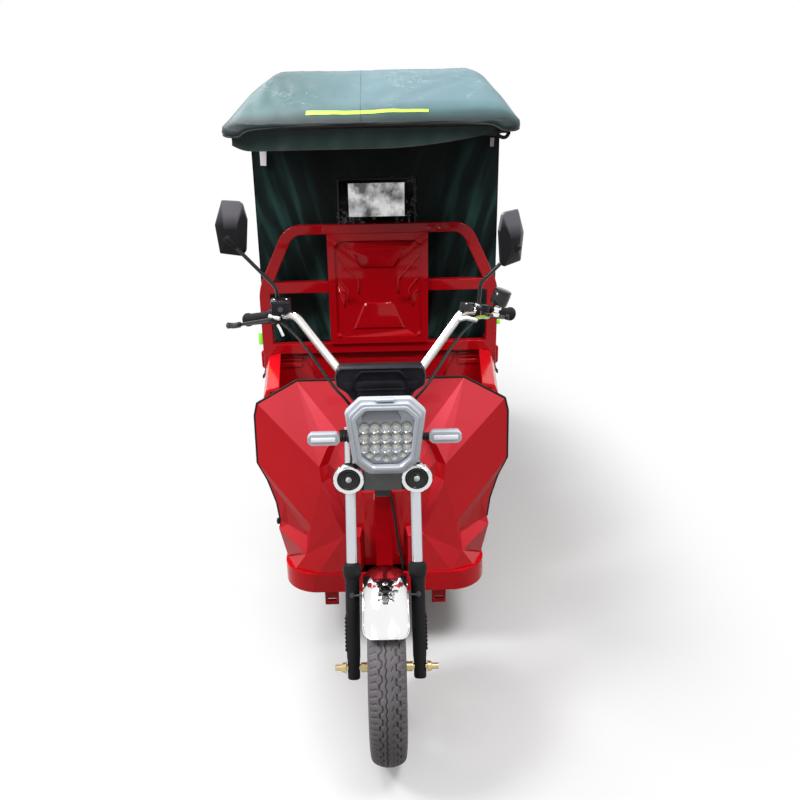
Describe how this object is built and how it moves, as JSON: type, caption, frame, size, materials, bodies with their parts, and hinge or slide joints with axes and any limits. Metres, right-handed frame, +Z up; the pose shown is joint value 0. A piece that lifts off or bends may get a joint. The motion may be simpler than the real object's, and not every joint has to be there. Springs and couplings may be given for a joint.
{
  "type": "auto rickshaw",
  "caption": "Three-wheeled rickshaw with a leaning front fork, faceted front shield, open driver's place and a canvas-covered passenger box that rolls on wheels.",
  "frame": {"origin": "on the ground under the front axle, on the middle plane", "axes": "+Z up, +X to the vehicle's left, the front faces -Y"},
  "size_m": [0.956, 2.855, 1.785],
  "materials": {
    "red_paint": "gloss",
    "black_paint": "satin",
    "chrome": "polished",
    "zinc": "satin",
    "cast": "satin",
    "rubber": "matte",
    "tyre": "matte",
    "black_plastic": "matte",
    "silver_plastic": "gloss",
    "red_lens": "gloss",
    "clear": "clear",
    "mirror": "polished",
    "canvas": "woven",
    "seat_cover": "grained"
  },
  "bodies": {
    "chassis": {"chassis_frame": "red_paint", "axle_housing": "black_paint", "floor_pan": "red_paint", "front_shield": "red_paint", "shield_trim": "rubber", "seat_box": "red_paint", "battery_block": "black_plastic", "side_guards": "red_paint", "cargo_floor": "red_paint", "bench_cushions": "seat_cover", "box_front_wall": "red_paint", "box_side_left": "red_paint", "box_side_right": "red_paint", "arch_frame": "red_paint", "backrest_panel": "red_paint", "tail_lamps": "red_lens", "canopy_frame": "black_paint", "canopy_roof": "canvas", "curtain_front": "canvas", "curtain_rear": "canvas", "side_curtains": "canvas", "curtain_windows": "clear"},
    "steering": {"front_axle": "zinc", "fork_lowers": "black_paint", "fork_tubes": "chrome", "fork_yokes": "black_paint", "handlebar": "chrome", "bar_controls": "black_plastic", "mirror_shells": "black_plastic", "mirror_faces": "mirror", "dash_housing": "black_plastic", "headlamp_shell": "silver_plastic", "headlamp_lens": "clear", "horn_set": "black_paint", "turn_signals": "black_plastic", "front_mudguard": "chrome", "control_cables": "rubber"},
    "front_wheel_body": {"front_tyre": "tyre", "front_wheel": "cast"},
    "rear_left_body": {"rear_tyre_left": "tyre", "rear_wheel_left": "cast"},
    "rear_right_body": {"rear_tyre_right": "tyre", "rear_wheel_right": "cast"},
    "tailgate_body": {"tailgate": "red_paint"},
    "seat_body": {"seat_cushion": "seat_cover"}
  },
  "joints": [
    {"name": "steer", "type": "hinge", "parent": "chassis", "child": "steering", "pos_m": [0, 0.27534, 0.73398], "axis": [0, 0.4226, 0.9063], "range_deg": [-35, 35]},
    {"name": "front_spin", "type": "hinge", "parent": "steering", "child": "front_wheel_body", "pos_m": [0, 0, 0.25], "axis": [1, 0, 0], "continuous": true},
    {"name": "rear_left_spin", "type": "hinge", "parent": "chassis", "child": "rear_left_body", "pos_m": [0.39, 1.95, 0.25], "axis": [1, 0, 0], "continuous": true},
    {"name": "rear_right_spin", "type": "hinge", "parent": "chassis", "child": "rear_right_body", "pos_m": [-0.39, 1.95, 0.25], "axis": [1, 0, 0], "continuous": true},
    {"name": "tailgate_hinge", "type": "hinge", "parent": "chassis", "child": "tailgate_body", "pos_m": [0, 2.563, 0.533], "axis": [-1, 0, 0], "range_deg": [0, 90]},
    {"name": "seat_hinge", "type": "hinge", "parent": "chassis", "child": "seat_body", "pos_m": [0, 0.852, 0.571], "axis": [1, 0, 0], "range_deg": [0, 70]}
  ]
}
